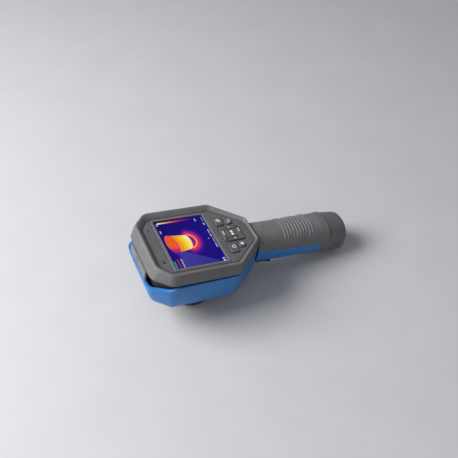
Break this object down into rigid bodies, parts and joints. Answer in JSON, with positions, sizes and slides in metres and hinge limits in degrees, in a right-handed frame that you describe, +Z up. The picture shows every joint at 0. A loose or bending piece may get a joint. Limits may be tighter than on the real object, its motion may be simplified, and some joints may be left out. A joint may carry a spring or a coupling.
{
  "type": "handheld thermal imaging camera",
  "caption": "Handheld thermal imaging camera: eight-sided head with a screen and keypad, lens underneath at right angles to the handle, trigger and slide-out battery.",
  "frame": {"origin": "middle of the base of the bounding box, on the surface that the camera lies on", "axes": "+Z up, +X from the top of the head towards the end of the handle, +Y towards the right side of the screen as it is held"},
  "size_m": [0.2336, 0.097, 0.0871],
  "materials": {
    "housing_grey": "moulded, fine grain, satin",
    "panel_grey": "moulded, matt",
    "shell_blue": "moulded, semi-gloss",
    "frame_black": "moulded, matt",
    "key_rubber": "silicone, matt",
    "grip_rubber": "overmoulded, matt",
    "screen": "clear gloss cover",
    "board_green": "solder mask",
    "metal": "satin",
    "brass": "turned",
    "germanium": "coated, polished",
    "window": "polished"
  },
  "bodies": {
    "camera": {"rear_housing": "housing_grey", "display_bezel": "housing_grey", "handle_collar": "housing_grey", "face_panel": "panel_grey", "front_shell": "shell_blue", "handle_front": "shell_blue", "mid_frame": "frame_black", "front_plate": "frame_black", "lcd_module": "frame_black", "lens_barrel": "frame_black", "lens_rim": "frame_black", "visible_camera": "frame_black", "trigger_switch": "frame_black", "contact_block": "frame_black", "keypad_mat": "key_rubber", "handle_grip": "grip_rubber", "screw_plug": "grip_rubber", "display_glass": "screen", "main_board": "board_green", "key_board": "board_green", "processor_shield": "metal", "usb_port": "metal", "card_slot": "metal", "hdmi_port": "metal", "plate_screw_1": "metal", "plate_screw_2": "metal", "plate_screw_3": "metal", "plate_screw_4": "metal", "detector_module": "metal", "lamp_module": "metal", "grip_screw": "metal", "trigger_pin": "metal", "trigger_spring": "metal", "trigger_bracket": "metal", "tripod_plate": "metal", "laser_module": "brass", "germanium_lens": "germanium", "rear_lens": "germanium", "camera_window": "window", "lamp_lens": "window", "laser_window": "window", "light_sensor": "window"},
    "key_right_upper": {"key_right_upper": "key_rubber"},
    "key_left_upper": {"key_left_upper": "key_rubber"},
    "key_right_lower": {"key_right_lower": "key_rubber"},
    "key_left_lower": {"key_left_lower": "key_rubber"},
    "dpad_gimbal": {"dpad_pivot": "frame_black"},
    "dpad": {"dpad_ring": "key_rubber"},
    "center_key": {"center_key": "key_rubber"},
    "focus_ring": {"focus_ring": "frame_black"},
    "shutter": {"shutter_blade": "metal"},
    "trigger": {"trigger": "frame_black"},
    "battery": {"battery_body": "frame_black", "battery_cap": "housing_grey", "battery_seal": "key_rubber", "battery_terminals": "brass"},
    "latch_right": {"latch_button_right": "frame_black"},
    "latch_left": {"latch_button_left": "frame_black"},
    "interface_cover": {"interface_cover": "grip_rubber"}
  },
  "joints": [
    {"name": "key_right_upper_press", "type": "slide", "parent": "camera", "child": "key_right_upper", "axis": [-0.1911, 0, -0.9816], "range_m": [0, 0.0008], "stiffness_N_per_m": 1800},
    {"name": "key_left_upper_press", "type": "slide", "parent": "camera", "child": "key_left_upper", "axis": [-0.1911, 0, -0.9816], "range_m": [0, 0.0008], "stiffness_N_per_m": 1800},
    {"name": "key_right_lower_press", "type": "slide", "parent": "camera", "child": "key_right_lower", "axis": [-0.1911, 0, -0.9816], "range_m": [0, 0.0008], "stiffness_N_per_m": 1800},
    {"name": "key_left_lower_press", "type": "slide", "parent": "camera", "child": "key_left_lower", "axis": [-0.1911, 0, -0.9816], "range_m": [0, 0.0008], "stiffness_N_per_m": 1800},
    {"name": "center_key_press", "type": "slide", "parent": "camera", "child": "center_key", "axis": [-0.1911, 0, -0.9816], "range_m": [0, 0.0008], "stiffness_N_per_m": 1800},
    {"name": "dpad_side_rock", "type": "hinge", "parent": "camera", "child": "dpad_gimbal", "pos_m": [-0.01542, 0, 0.06344], "axis": [0.9816, 0, -0.1911], "range_deg": [-2.5, 2.5], "stiffness_Nm_per_rad": 0.25},
    {"name": "dpad_end_rock", "type": "hinge", "parent": "dpad_gimbal", "child": "dpad", "pos_m": [-0.01542, 0, 0.06344], "axis": [0, 1, 0], "range_deg": [-2.5, 2.5], "stiffness_Nm_per_rad": 0.25},
    {"name": "focus_turn", "type": "hinge", "parent": "camera", "child": "focus_ring", "pos_m": [-0.06585, 0, 0.01529], "axis": [0.1911, 0, 0.9816], "range_deg": [-60, 60]},
    {"name": "shutter_swing", "type": "hinge", "parent": "camera", "child": "shutter", "pos_m": [-0.04923, 0, 0.03263], "axis": [0.1911, 0, 0.9816], "range_deg": [0, 80]},
    {"name": "trigger_pull", "type": "hinge", "parent": "camera", "child": "trigger", "pos_m": [0.01236, 0, 0.02981], "axis": [0, -1, 0], "range_deg": [0, 7], "stiffness_Nm_per_rad": 0.6, "springref_deg": -3.44},
    {"name": "battery_slide", "type": "slide", "parent": "camera", "child": "battery", "axis": [0.9816, 0, -0.1911], "range_m": [0, 0.064]},
    {"name": "latch_right_press", "type": "slide", "parent": "battery", "child": "latch_right", "axis": [0, -1, 0], "range_m": [0, 0.0012], "stiffness_N_per_m": 1500},
    {"name": "latch_left_press", "type": "slide", "parent": "battery", "child": "latch_left", "axis": [0, 1, 0], "range_m": [0, 0.0012], "stiffness_N_per_m": 1500},
    {"name": "cover_open", "type": "hinge", "parent": "camera", "child": "interface_cover", "pos_m": [-0.11661, 0, 0.0649], "axis": [0, -1, 0], "range_deg": [0, 100]}
  ]
}
